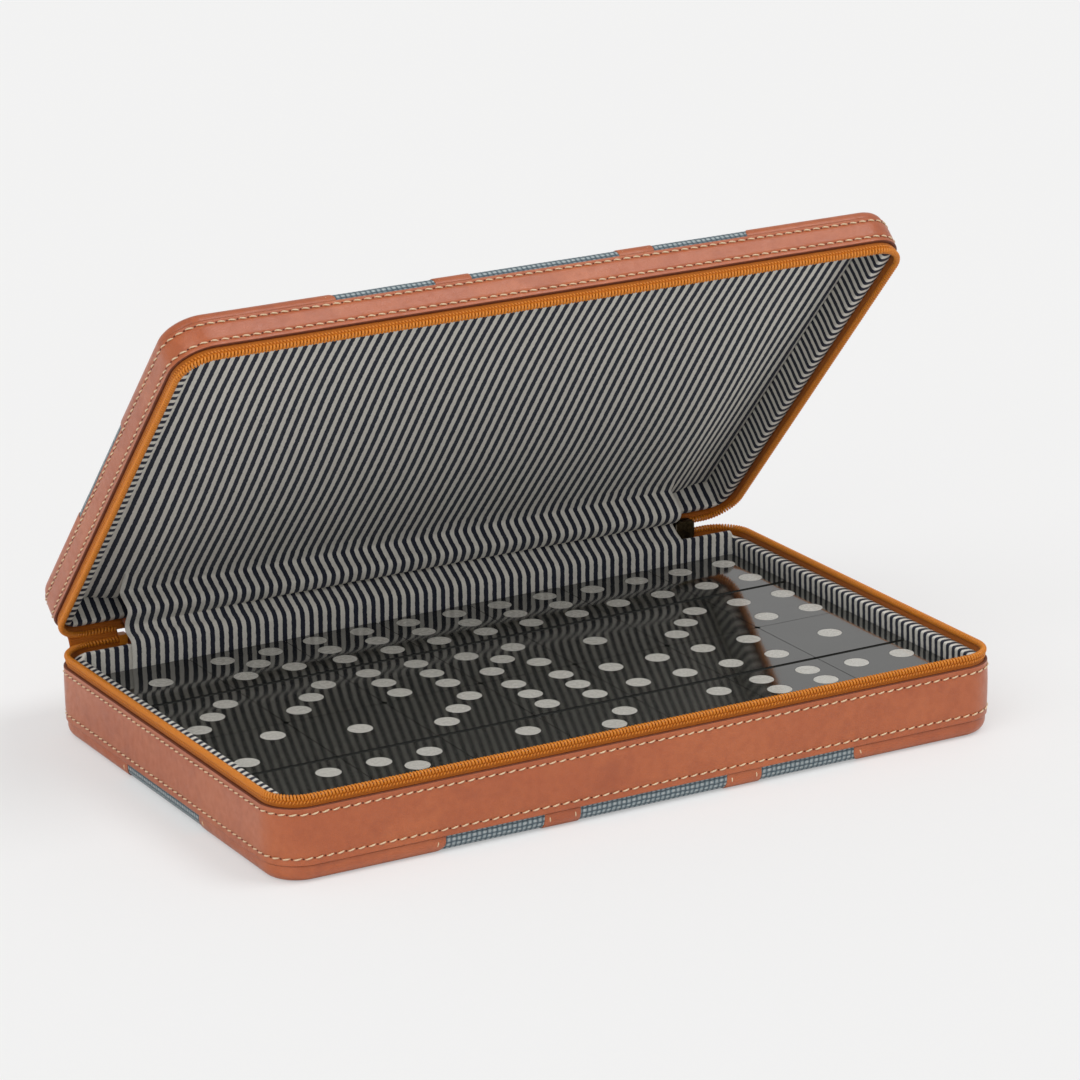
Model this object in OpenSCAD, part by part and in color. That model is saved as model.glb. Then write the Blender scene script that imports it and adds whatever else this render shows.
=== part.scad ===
// Zip-around leather case that holds a double-six set of large dominoes.
// It is drawn as it stands open. X runs along the long side, Y towards the hinge,
// Z up from the surface that it rests on. Millimetres and degrees.

/* [Dominoes] */
// Width of one domino
tile_w = 49.3; // [40:0.1:60]
// Length of one domino
tile_l = 103.05; // [84:0.05:120]
// Thickness of one domino
tile_t = 11; // [8:0.1:14]
// Gap between neighbouring dominoes
tile_gap = 0.35; // [0.3:0.05:1]
// Radius of a domino's upright corners
tile_corner = 2.2; // [0.5:0.1:4]
// Dominoes side by side along the case
columns = 7; // [7]
// Diameter of a pip
pip_d = 11.6; // [8:0.1:12.4]
// Depth of a pip's recess
pip_depth = 0.4; // [0.2:0.1:1]
// Distance of the outer pips from the middle of their half, along either side
pip_step = 12.45; // [12:0.05:14]
// Distance between the three pips in a row of a six
six_step = 15.6; // [13:0.1:17]
// Distance from the middle of a domino to the middle of a half
half_step = 27.35; // [24:0.05:29]
// Width of the line across the middle of a domino
divider_w = 2.6; // [1:0.1:4]
// Depth of that line
divider_depth = 0.7; // [0.3:0.1:1.2]

/* [Case] */
// Slack between the dominoes and the tray's walls
tray_slack = 1.6; // [1:0.1:4]
// Thickness of the tray's front and side walls
side_wall = 9.8; // [9:0.1:14]
// Thickness of the tray's wall on the hinge side
hinge_wall = 16; // [14:0.1:22]
// Radius of the upright corners inside the lining
hollow_r = 1.2; // [1:0.1:4]
// Height of the leather's edge above the dominoes
rim_above_tiles = 5.8; // [4:0.1:9]
// Height of the lid's leather, from its outer face to its edge
lid_h = 18.7; // [18:0.1:40]
// Radius of the case's upright corners
corner_r = 18; // [15:0.5:24]
// Radius of the edge round the tray's underside
tray_edge_r = 6.5; // [5:0.5:9]
// Radius of the edge round the lid's outer face
lid_edge_r = 5; // [5:0.5:9]
// Angle by which the lid stands open
lid_open = 47.1; // [30:0.1:60]
// Running clearance between the lid and what it passes
swing_gap = 0.3; // [0.2:0.05:0.5]

/* [Skins] */
// Thickness of the leather band round the sides
band_t = 1.6; // [1.5:0.1:2.2]
// Thickness of the leather corners and straps
patch_t = 0.8; // [0.6:0.1:1.2]
// Thickness of the woven cloth
cloth_t = 0.8; // [0.5:0.1:1.2]
// Thickness of the board that stiffens the case
board_t = 2.4; // [1.5:0.1:3]
// Distance of the board's edge below the leather's edge
board_drop = 1.5; // [1:0.1:3]
// Length of cloth that is tucked under the leather band
cloth_tuck = 4; // [3:0.5:5]
// Height of the tray band's lower edge above the rounded edge
tray_band_rise = 1.6; // [0.1:0.1:4]
// Distance of the lid band's edge from the lid's rounded edge
lid_band_rise = 0.2; // [0.1:0.1:4]
// Length of the two equal sides of a leather corner
corner_leg = 81.5; // [50:0.5:100]
// Width of a leather strap
strap_w = 18; // [10:0.5:30]
// Distance of each strap from the middle
strap_x = 46.5; // [25:0.5:70]

/* [Zip] */
// Height of the tape and teeth from the leather's edge to the parting plane
zip_rise = 5.9; // [5:0.1:7]
// Thickness of the tape
tape_t = 0.8; // [0.5:0.1:1]
// Length of tape sewn under the leather
tape_tuck = 6.5; // [5:0.5:9]
// Thickness of the coil
coil_d = 3.2; // [2.6:0.1:3.6]
// Height of the coil's cord, under the notches between its teeth
cord_h = 1.5; // [1:0.1:2]
// Distance from tooth to tooth
tooth_pitch = 2; // [1.5:0.1:4]
// Length of the slider along the zip
slider_l = 10; // [6:0.5:12]
// Height of the slider
slider_h = 9.2; // [8:0.1:9.4]
// Thickness of the slider's plates
slider_t = 0.9; // [0.6:0.1:1.2]
// Length of the pull, below its eye
pull_l = 21; // [14:1:24]
// Width of the pull
pull_w = 6; // [4:0.5:7]
// Thickness of the pull
pull_t = 0.9; // [0.6:0.1:1]

/* [Lining] */
// Thickness of the tray's floor lining
floor_t = 2.4; // [2.2:0.1:4]
// Thickness of the lid's padded lining
pad_t = 3.4; // [2:0.1:6]
// Height of the lining's ledge above the leather's edge
ledge_rise = 0.7; // [0.3:0.1:1]
// Radius of the ledge's inner edge
ledge_round = 1.2; // [0.8:0.1:2]
// Thickness of the lid's wall on the hinge side
lid_hinge_wall = 8; // [7:0.1:10]
// Distance of the hinge panel's ends from the case's rounded corners
hinge_end = 20; // [18:0.5:40]
// Thickness of the hinge panel's cloth
panel_t = 0.9; // [0.6:0.1:1.2]
// Height of the panel's crease above the tray's ledge
tray_fold = 7; // [5:0.1:8]
// Distance by which it stands off the lid's lining
lid_fold = 4; // [3:0.1:5]
// Thickness of the leather spine
spine_t = 0.8; // [0.6:0.1:1]

/* [Hidden] */
$fn = 96;
EPS = 0.01;

// Where the stack of skins, board, lining and dominoes comes to
board_z = patch_t + cloth_t;
board_inset = band_t + cloth_t;
patch_inset = band_t - patch_t;
tray_band_edge = tray_edge_r + tray_band_rise;
lid_band_edge = lid_edge_r + lid_band_rise;
patch_gap = 0.3;
tray_floor = board_z + board_t + floor_t;
lid_floor = board_z + board_t + pad_t;
layer_gap = 0.3;
coil_base = zip_rise - swing_gap / 2 - coil_d;
tile_top = tray_floor + 2 * tile_t + layer_gap;
tray_h = tile_top + rim_above_tiles;

// The set of dominoes in plan, and the case round it
pitch_x = tile_w + tile_gap;
pitch_y = tile_l + tile_gap;
set_w = columns * pitch_x - tile_gap;
set_d = 2 * pitch_y - tile_gap;
case_w = set_w + 2 * (tray_slack + side_wall);
case_d = set_d + 2 * tray_slack + side_wall + hinge_wall + panel_t;

set_y = -case_d / 2 + side_wall + tray_slack + set_d / 2;

// The parting plane, and the axis on which the lid turns
parting = tray_h + zip_rise;
closed_h = parting + zip_rise + lid_h;
axis_y = case_d / 2 + swing_gap;
coil_y = case_d / 2 - band_t - tape_t / 2;
hinge_w = case_w - 2 * corner_r - 2 * hinge_end;
zip_end = hinge_w / 2 + 0.5;
slider_gap = 2.5;
slider_x = zip_end + slider_gap + slider_l / 2;
lid_zip_right = slider_x + slider_l / 2 + 1.8;
stop_l = 4;
stop_t = 0.6;
stop_gap = 0.15;
lid_zip_left = zip_end + stop_l + slider_gap;

// Each domino: value at the back, value at the front, column, row, layer.
// Row 1 is next to the hinge. Layer 1 is the upper one, as it lies in the case.
SET = [
    [1, 3, 0, 1, 1], [5, 3, 1, 1, 1], [6, 6, 2, 1, 1], [6, 5, 3, 1, 1],
    [6, 1, 4, 1, 1], [4, 3, 5, 1, 1], [4, 4, 6, 1, 1],
    [2, 2, 0, 0, 1], [1, 5, 1, 0, 1], [3, 2, 2, 0, 1], [6, 3, 3, 0, 1],
    [4, 2, 4, 0, 1], [4, 6, 5, 0, 1], [1, 4, 6, 0, 1],
    [0, 0, 0, 1, 0], [0, 1, 1, 1, 0], [0, 2, 2, 1, 0], [0, 3, 3, 1, 0],
    [0, 4, 4, 1, 0], [0, 5, 5, 1, 0], [0, 6, 6, 1, 0],
    [1, 1, 0, 0, 0], [1, 2, 1, 0, 0], [2, 5, 2, 0, 0], [2, 6, 3, 0, 0],
    [3, 3, 4, 0, 0], [4, 5, 5, 0, 0], [5, 5, 6, 0, 0]
];
function tile_name(t) = str("domino_", t[0], "_", t[1]);

SIDES = ["front_left", "front_right", "back_left", "back_right"];

// Rounded rectangle
module plate(w, d, r) {
    square([w - 2 * r, d], center = true);
    square([w, d - 2 * r], center = true);
    for (x = [-1, 1], y = [-1, 1]) translate([x * (w / 2 - r), y * (d / 2 - r)]) circle(r);
}

// Plan of the case, drawn in from its outer face
module outline(inset) plate(case_w - 2 * inset, case_d - 2 * inset, corner_r - inset);

// Plan of the hollow in one half, whose hinge wall may be thicker than the others
module hollow(back_wall, grow = 0) {
    depth = case_d - side_wall - back_wall;
    translate([0, (side_wall - back_wall) / 2])
        plate(case_w - 2 * side_wall + 2 * grow, depth + 2 * grow, hollow_r + grow);
}

// Sweeps a profile round a rounded rectangle. The profile's x is the distance inwards
// from the rectangle's edge, and its y is the height.
module rim(w = case_w, d = case_d, r = corner_r) {
    for (s = [0, 1]) {
        mirror([0, s, 0]) translate([r - w / 2, -d / 2, 0])
            rotate([90, 0, 90]) linear_extrude(w - 2 * r) children();
        mirror([s, 0, 0]) translate([-w / 2, d / 2 - r, 0])
            rotate([90, 0, 0]) linear_extrude(d - 2 * r) children();
    }
    for (k = [0 : 3]) {
        x = (k == 0 || k == 3) ? 1 : -1;
        y = k < 2 ? 1 : -1;
        translate([x * (w / 2 - r), y * (d / 2 - r), 0]) rotate([0, 0, 90 * k])
            rotate_extrude(angle = 90) translate([r, 0]) mirror([1, 0]) children();
    }
}

// Profile of a side that meets the outer face, filled inwards. Its edge may be rounded.
module foot(inset, base, top, round_r) {
    run = corner_r - 1 - inset;
    if (round_r <= 0) translate([inset, base]) square([run, top - base]);
    else union() {
        translate([inset, base + round_r]) square([run, top - base - round_r]);
        translate([inset + round_r, base]) square([run - round_r, top - base]);
        translate([inset + round_r, base + round_r]) circle(round_r);
    }
}

// Open shell with a rounded edge: a floor and walls, which are as thick
module pan(inset, base, wall, top, round_r, inner_r) {
    translate([0, 0, base]) linear_extrude(wall) outline(inset + round_r);
    rim() intersection() {
        difference() {
            foot(inset, base, top, round_r);
            foot(inset + wall, base + wall, top + 1, inner_r);
        }
        translate([inset, base]) square([round_r, top - base]);
    }
}

// Turns what is drawn as a tray into the lid, at its open angle
module in_lid() {
    translate([0, axis_y, parting]) rotate([-lid_open, 0, 0]) translate([0, -axis_y, -parting])
        translate([0, 0, closed_h]) mirror([0, 0, 1]) children();
}

// Board shell of one half, whose leather is h high. Inside, its corner is square.
module board(h, edge_r) color("tan")
    pan(board_inset, board_z, board_t, h - board_drop, edge_r - board_inset, 0);

// Plan of a leather corner, and of a strap
module corner_plan(side, grow = 0) {
    reach = corner_leg + 2 + grow * (1 + sqrt(2));
    mirror([side % 2 == 0 ? 1 : 0, 0]) mirror([0, side < 2 ? 1 : 0])
        translate([case_w / 2 + 1, case_d / 2 + 1]) polygon([[0, 0], [-reach, 0], [0, -reach]]);
}
module strap_plan(x, grow = 0)
    translate([x, 0]) square([strap_w + 2 * grow, 2 * case_d], center = true);

// Woven cloth over the outer face and under the band's edge. Between the leather corners
// and straps it is flush with them, so the case rests on it too.
module cloth(edge, edge_r) color("slategray") {
    pan(band_t, patch_t, cloth_t, edge + cloth_tuck, edge_r - band_t, edge_r - board_inset);
    linear_extrude(patch_t) difference() {
        outline(edge_r);
        for (s = [0 : 3]) corner_plan(s, patch_gap);
        for (x = [-strap_x, strap_x]) strap_plan(x, patch_gap);
    }
}

// Leather skin of which the corners and straps are cut
module skin(edge, edge_r)
    pan(patch_inset, 0, patch_t, edge - 0.1, edge_r - patch_inset, edge_r - band_t);

module corner(edge, edge_r, side) color("sienna") intersection() {
    skin(edge, edge_r);
    translate([0, 0, -1]) linear_extrude(edge + 2) corner_plan(side);
}

module strap(edge, edge_r, x) color("sienna") intersection() {
    skin(edge, edge_r);
    translate([0, 0, -1]) linear_extrude(edge + 2) strap_plan(x);
}

// Leather band round the four sides
module band(edge, h) color("sienna")
    translate([0, 0, edge]) linear_extrude(h - edge) difference() {
        outline(0);
        outline(band_t);
    }

// Leaves out the stretch of the zip at the hinge
module zip_cut(left, right)
    translate([-left, 0, -1]) cube([left + right, case_d, closed_h]);

module zip_tape(h, left, right) color("peru") difference() {
    translate([0, 0, h - tape_tuck]) linear_extrude(tape_tuck + coil_base) difference() {
        outline(band_t);
        outline(band_t + tape_t);
    }
    zip_cut(left, right);
}

// Teeth that stand on a cord, along a straight stretch of the zip
TOOTH = [[0, 0], [0.28, 1], [0.72, 1]];
module comb(length) {
    n = round(length / tooth_pitch);
    tooth = [length / n, coil_d - cord_h];
    rotate([90, 0, 0]) linear_extrude(coil_d, center = true) polygon(concat(
        [for (i = [0 : n - 1], p = TOOTH) [(i + p[0]) * tooth[0], cord_h + p[1] * tooth[1]]],
        [[length, cord_h], [length, 0], [0, 0]]
    ));
}

// The same teeth round a corner, where each one is a short block
module bent_comb(r) {
    n = round(r * PI / 2 / tooth_pitch);
    rotate_extrude(angle = 90) translate([r - coil_d / 2, 0]) square([coil_d, cord_h]);
    for (i = [0 : n - 1]) rotate([0, 0, (i + 0.5) * 90 / n])
        translate([r - coil_d / 2, -tooth_pitch * 0.3, cord_h / 2])
            cube([coil_d, tooth_pitch * 0.6, coil_d - cord_h / 2]);
}

// Coil of teeth on the tape's edge. It stops short at the hinge, between left and right.
module zip_coil(h, left, right) color("goldenrod") translate([0, 0, h + coil_base]) {
    inset = band_t + tape_t / 2;
    x = case_w / 2 - corner_r;
    y = case_d / 2 - corner_r;
    r = corner_r - inset;
    translate([-x, inset - case_d / 2, 0]) comb(2 * x);
    for (s = [0, 1]) mirror([s, 0, 0])
        translate([case_w / 2 - inset, -y, 0]) rotate([0, 0, 90]) comb(2 * y);
    translate([right, y + r, 0]) comb(x - right);
    translate([-x, y + r, 0]) comb(x - left);
    for (sx = [0, 1], sy = [0, 1]) mirror([sx, 0, 0]) mirror([0, sy, 0])
        translate([x, y, 0]) bent_comb(r);
}

// Cloth-covered frame inside the board: walls round the hollow, and a ledge over the board
module wall_lining(h, back_wall) color("lightgray") {
    floor_z = board_z + board_t;
    ledge = h + ledge_rise;
    board_top = h - board_drop;
    difference() {
        union() {
            translate([0, 0, floor_z]) linear_extrude(board_top - floor_z)
                outline(board_inset + board_t);
            translate([0, 0, board_top]) linear_extrude(ledge - board_top - ledge_round)
                outline(board_inset);
        }
        translate([0, 0, floor_z - 1]) linear_extrude(ledge) hollow(back_wall);
    }
    translate([0, 0, ledge - ledge_round]) linear_extrude(ledge_round) difference() {
        outline(board_inset);
        hollow(back_wall, ledge_round);
    }
    translate([0, (side_wall - back_wall) / 2, 0])
        rim(case_w - 2 * side_wall, case_d - side_wall - back_wall, hollow_r)
            intersection() {
                translate([-ledge_round, ledge - ledge_round]) circle(ledge_round);
                translate([-ledge_round, ledge - ledge_round]) square(ledge_round);
            }
}

module floor_lining(back_wall, t) color("lightgray")
    translate([0, 0, board_z + board_t]) linear_extrude(t) hollow(back_wall, -0.1);

// Leather spine: straight where it is tucked in, then an arc over the lid's open angle
module hinge_spine() color("sienna") translate([-hinge_w / 2, 0, 0]) rotate([90, 0, 90])
    linear_extrude(hinge_w) {
        y = case_d / 2 - band_t - spine_t / 2;
        drop = axis_y - y;
        bend = (zip_rise + drop * tan(lid_open / 2)) / tan(lid_open / 2);
        translate([y - spine_t / 2, tray_h - tape_tuck]) square([spine_t, tape_tuck]);
        translate([y + bend, tray_h]) intersection() {
            difference() {
                circle(bend + spine_t / 2);
                circle(bend - spine_t / 2);
            }
            far = 2 * bend;
            stop = lid_open - 1.5;
            polygon([[0, 0], [-far, 0], [-far, far * tan(lid_open / 2)],
                     [-far * cos(stop), far * sin(stop)]]);
        }
    }

// A strip of even thickness along points in a plane
function unit(v) = v / norm(v);
function side_of(p, i) = let (
        a = p[max(i - 1, 0)], b = p[min(i + 1, len(p) - 1)], t = unit(b - a)
    ) [-t[1], t[0]];
function strip(p, t) = concat(
    [for (i = [0 : len(p) - 1]) p[i] + side_of(p, i) * t / 2],
    [for (i = [len(p) - 1 : -1 : 0]) p[i] - side_of(p, i) * t / 2]
);

// A place inside the lid, given as it is when closed, at the lid's open angle
function opened(y, z) = let (dy = y - axis_y, dz = z - parting) [
    axis_y + dy * cos(lid_open) + dz * sin(lid_open),
    parting - dy * sin(lid_open) + dz * cos(lid_open)
];

// Soft panel from the tray's hinge wall over the hinge to the lid's lining: it rises along
// the wall, bulges over the ledge, dips into the crease and bulges again along the lid's wall.
// Both folds are drawn as shares of their size.
TRAY_FOLD = [[0.05, 0.04], [0.24, 0.14], [0.72, 0.35], [1.15, 0.58], [1.27, 0.8], [1.25, 1]];
LID_FOLD = [[-0.62, -2.4], [-0.9, -1.77], [-0.8, -0.9], [-0.53, -0.23], [-0.13, 1.38]];
LID_END = [[-0.04, -0.2]];
module hinge_lining() color("lightgray") {
    wall_y = case_d / 2 - hinge_wall - swing_gap - panel_t / 2;
    lid_wall_y = case_d / 2 - lid_hinge_wall - swing_gap - panel_t / 2;
    ledge = tray_h + ledge_rise;
    lid_ledge = closed_h - lid_h - ledge_rise;
    lid_back = closed_h - lid_floor;
    path = concat(
        [[wall_y, tray_floor + swing_gap], [wall_y, ledge - panel_t]],
        [for (p = TRAY_FOLD) [wall_y, ledge] + tray_fold * p],
        [for (p = LID_FOLD) opened(lid_wall_y + lid_fold * p[0], lid_ledge + lid_fold * p[1])],
        [for (p = LID_END) opened(lid_wall_y + lid_fold * p[0], lid_back + lid_fold * p[1])]
    );
    translate([-hinge_w / 2, 0, 0]) rotate([90, 0, 90]) linear_extrude(hinge_w)
        polygon(strip(path, panel_t));
}

// Slider: two plates either side of the coils, flanges that hold the tapes, a post that
// parts the coils, and a bridge for the pull. Drawn about the middle of its channel.
channel = coil_d + 0.5;
module slider_form() {
    plate_y = channel / 2 + slider_t;
    intersection() {
        union() {
            for (s = [0, 1]) mirror([0, s, 0]) {
                translate([-slider_l / 2, channel / 2, -slider_h / 2])
                    cube([slider_l, slider_t, slider_h]);
                for (z = [-slider_h / 2, slider_h / 2 - 0.6])
                    translate([-slider_l / 2, tape_t / 2 + 0.3, z])
                        cube([slider_l, channel / 2 - tape_t / 2 - 0.3, 0.6]);
            }
            translate([slider_l / 2 - 1.6, -plate_y, 0.1]) cube([1.4, 2 * plate_y, 2.6]);
        }
        rotate([90, 0, 0]) linear_extrude(4 * plate_y, center = true)
            plate(slider_l, slider_h, 1.6);
    }
}
bridge_y = channel / 2 + slider_t + 1.55;
bridge_bar = 1.2;
module zip_slider() color("darkolivegreen") translate([slider_x, coil_y, parting]) {
    slider_form();
    for (x = [-1, 1]) translate([x * (slider_l / 2 - 1.5) - 0.5, channel / 2 + slider_t - 0.1, -0.6])
        cube([1, bridge_y - channel / 2 - slider_t + 0.1, bridge_bar]);
    for (x = [-1, 1]) translate([x * (slider_l / 2 - 1.5), bridge_y, 0]) rotate([0, 90, 0])
        cylinder(d = bridge_bar, h = 1, center = true);
    translate([0, bridge_y, 0]) rotate([0, 90, 0])
        cylinder(d = bridge_bar, h = slider_l - 3, center = true);
}

// Pull: an eye round the slider's bridge, and a flat tab that hangs by the case
eye_hole = bridge_bar + 0.6;
eye_d = eye_hole + 1.2;
module zip_pull() color("darkolivegreen") translate([slider_x, coil_y + bridge_y, parting]) {
    eye_l = slider_l - 4.6;
    tab_y = -eye_d / 2;
    difference() {
        union() {
            rotate([0, 90, 0]) cylinder(d = eye_d, h = eye_l, center = true);
            translate([-eye_l / 2, tab_y, -eye_d]) cube([eye_l, pull_t, eye_d]);
        }
        rotate([0, 90, 0]) cylinder(d = eye_hole, h = eye_l + 1, center = true);
    }
    translate([0, tab_y + pull_t, -eye_d / 2 - 1 - pull_l / 2]) rotate([90, 0, 0])
        linear_extrude(pull_t) difference() {
            plate(pull_w, pull_l, pull_w / 2 - EPS);
            translate([0, -pull_l / 2 + pull_w / 2]) circle(pull_w / 5);
        }
}

// Stop at the other end of the zip: a clip bent round the tray's coil, open to the tape
module zip_stop() color("darkolivegreen")
    translate([-zip_end - 0.3 - stop_l, coil_y, tray_h + coil_base + coil_d / 2])
        rotate([90, 0, 90]) linear_extrude(stop_l) difference() {
            square(coil_d + 2 * (stop_gap + stop_t), center = true);
            square(coil_d + 2 * stop_gap, center = true);
            translate([-tape_t / 2 - stop_gap, -coil_d - stop_t])
                square([tape_t + 2 * stop_gap, coil_d + stop_t]);
        }

// Centres of the pips of one half, for each value
function pips(n) = let (a = pip_step, c = six_step)
    n == 0 ? [] :
    n == 1 ? [[0, 0]] :
    n == 2 ? [[-a, -a], [a, a]] :
    n == 3 ? [[-a, -a], [0, 0], [a, a]] :
    n == 4 ? [for (x = [-a, a], y = [-a, a]) [x, y]] :
    n == 5 ? concat([[0, 0]], [for (x = [-a, a], y = [-a, a]) [x, y]]) :
    [for (x = [-a, a], y = [-c, 0, c]) [x, y]];

module domino(t) color([0.2, 0.2, 0.19]) {
    x = (t[2] - (columns - 1) / 2) * pitch_x;
    y = set_y + (t[3] - 0.5) * pitch_y;
    z = tray_floor + t[4] * (tile_t + layer_gap);
    translate([x, y, z]) difference() {
        linear_extrude(tile_t) plate(tile_w, tile_l, tile_corner);
        translate([-tile_w / 2 - 1, -divider_w / 2, tile_t - divider_depth])
            cube([tile_w + 2, divider_w, divider_depth + 1]);
        for (half = [0, 1], p = pips(t[half]))
            translate([p[0], p[1] + (half == 0 ? half_step : -half_step), tile_t - pip_depth])
                cylinder(d = pip_d, h = pip_depth + 1);
    }
}

board(tray_h, tray_edge_r);  // tray_board
cloth(tray_band_edge, tray_edge_r);  // tray_cloth
band(tray_band_edge, tray_h);  // tray_band
zip_tape(tray_h, zip_end, zip_end);  // tray_zip_tape
zip_coil(tray_h, zip_end, zip_end);  // tray_zip_coil
wall_lining(tray_h, hinge_wall);  // tray_wall_lining
floor_lining(hinge_wall, floor_t);  // tray_floor_lining
strap(tray_band_edge, tray_edge_r, -strap_x);  // tray_strap_left
strap(tray_band_edge, tray_edge_r, strap_x);  // tray_strap_right
in_lid() board(lid_h, lid_edge_r);  // lid_board
in_lid() cloth(lid_band_edge, lid_edge_r);  // lid_cloth
in_lid() band(lid_band_edge, lid_h);  // lid_band
in_lid() zip_tape(lid_h, lid_zip_left, lid_zip_right);  // lid_zip_tape
in_lid() zip_coil(lid_h, lid_zip_left, lid_zip_right);  // lid_zip_coil
in_lid() wall_lining(lid_h, lid_hinge_wall);  // lid_wall_lining
in_lid() floor_lining(lid_hinge_wall, pad_t);  // lid_padded_lining
in_lid() strap(lid_band_edge, lid_edge_r, -strap_x);  // lid_strap_left
in_lid() strap(lid_band_edge, lid_edge_r, strap_x);  // lid_strap_right
hinge_spine();
hinge_lining();
zip_slider();
zip_pull();
zip_stop();
for (s = [0 : 3]) {
    corner(tray_band_edge, tray_edge_r, s);
    in_lid() corner(lid_band_edge, lid_edge_r, s);
}
for (t = SET) domino(t);
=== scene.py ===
"""Looks of the domino case: leather, woven cloth, striped lining, zip and dominoes."""

import math

import bmesh
import bpy
import numpy as np
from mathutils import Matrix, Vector


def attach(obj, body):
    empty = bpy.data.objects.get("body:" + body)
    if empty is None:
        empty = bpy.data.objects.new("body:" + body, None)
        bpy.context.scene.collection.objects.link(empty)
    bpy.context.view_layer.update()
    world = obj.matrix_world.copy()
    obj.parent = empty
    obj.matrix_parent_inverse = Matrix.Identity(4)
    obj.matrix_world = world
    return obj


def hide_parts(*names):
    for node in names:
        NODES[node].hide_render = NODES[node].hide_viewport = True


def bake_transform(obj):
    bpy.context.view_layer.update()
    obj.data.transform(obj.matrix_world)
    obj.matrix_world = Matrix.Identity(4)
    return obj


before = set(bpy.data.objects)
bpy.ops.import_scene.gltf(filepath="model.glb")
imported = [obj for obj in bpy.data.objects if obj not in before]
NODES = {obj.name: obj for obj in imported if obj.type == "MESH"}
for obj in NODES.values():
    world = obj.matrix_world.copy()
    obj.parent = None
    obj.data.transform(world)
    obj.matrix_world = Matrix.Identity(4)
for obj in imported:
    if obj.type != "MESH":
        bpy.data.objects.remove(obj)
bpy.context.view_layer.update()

# Sizes in millimetres, as in the CAD model
W, D, R = 370.0, 236.35, 18.0
TRAY_H, LID_H, ZIP_RISE = 34.5, 18.7, 5.9
PARTING = TRAY_H + ZIP_RISE
CLOSED = PARTING + ZIP_RISE + LID_H
AXIS_Y = D / 2 + 0.3
LID_OPEN = math.radians(47.1)
TRAY_EDGE_R, LID_EDGE_R = 6.5, 5.0
TRAY_BAND, LID_BAND = 8.1, 5.2
BAND_T, PATCH_T, TAPE_T, COIL_D = 1.6, 0.8, 0.8, 3.2
SIDE_WALL, HINGE_WALL, LID_HINGE_WALL, HOLLOW_R = 9.8, 16.0, 8.0, 1.2
TRAY_FLOOR, LEDGE, LEDGE_ROUND = 6.4, 0.7, 1.2
STRAP_X, STRAP_W, LEG = 46.5, 18.0, 81.5
HINGE_W = 294.0
TILE_W, TILE_L, TILE_T, LAYER_GAP, TILE_GAP = 49.3, 103.05, 11.0, 0.3, 0.35
PITCH_X, PITCH_Y = TILE_W + TILE_GAP, TILE_L + TILE_GAP
TRAY_SLACK = 1.6
SET_Y = -D / 2 + SIDE_WALL + TRAY_SLACK + (2 * PITCH_Y - TILE_GAP) / 2
PIP_D, PIP_STEP, SIX_STEP, HALF_STEP = 11.6, 12.45, 15.6, 27.35
BOARD_IN, BOARD_T, LINING_DROP, LINING_BASE = 2.4, 2.4, 1.5, 4.0
# Where the zip ends beside the hinge, as a length from the middle of the back
ZIP_END = HINGE_W / 2 + 0.5

# Sizes in millimetres that only the looks have, and a pip's number of sides
STRIPE = 4.7
STITCH, PATCH_STITCH, STITCH_INSET = 5.0, 4.4, 2.6
COIL_PITCH = 1.64
PAD_GAP = 0.1
CLOTH_T = 0.5
EDGE_EASE = 0.28
PIP_SIDES = 48
# Where the lid's coil ends, a little nearer to the hinge than in the CAD model
LID_ZIP_RIGHT, LID_ZIP_LEFT = 160.4, 152.2

# The two values of each domino, then its column, row and layer
SET = [
    (1, 3, 0, 1, 1), (5, 3, 1, 1, 1), (6, 6, 2, 1, 1), (6, 5, 3, 1, 1),
    (6, 1, 4, 1, 1), (4, 3, 5, 1, 1), (4, 4, 6, 1, 1),
    (2, 2, 0, 0, 1), (1, 5, 1, 0, 1), (3, 2, 2, 0, 1), (6, 3, 3, 0, 1),
    (4, 2, 4, 0, 1), (4, 6, 5, 0, 1), (1, 4, 6, 0, 1),
    (0, 0, 0, 1, 0), (0, 1, 1, 1, 0), (0, 2, 2, 1, 0), (0, 3, 3, 1, 0),
    (0, 4, 4, 1, 0), (0, 5, 5, 1, 0), (0, 6, 6, 1, 0),
    (1, 1, 0, 0, 0), (1, 2, 1, 0, 0), (2, 5, 2, 0, 0), (2, 6, 3, 0, 0),
    (3, 3, 4, 0, 0), (4, 5, 5, 0, 0), (5, 5, 6, 0, 0),
]


# Shapes

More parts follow.
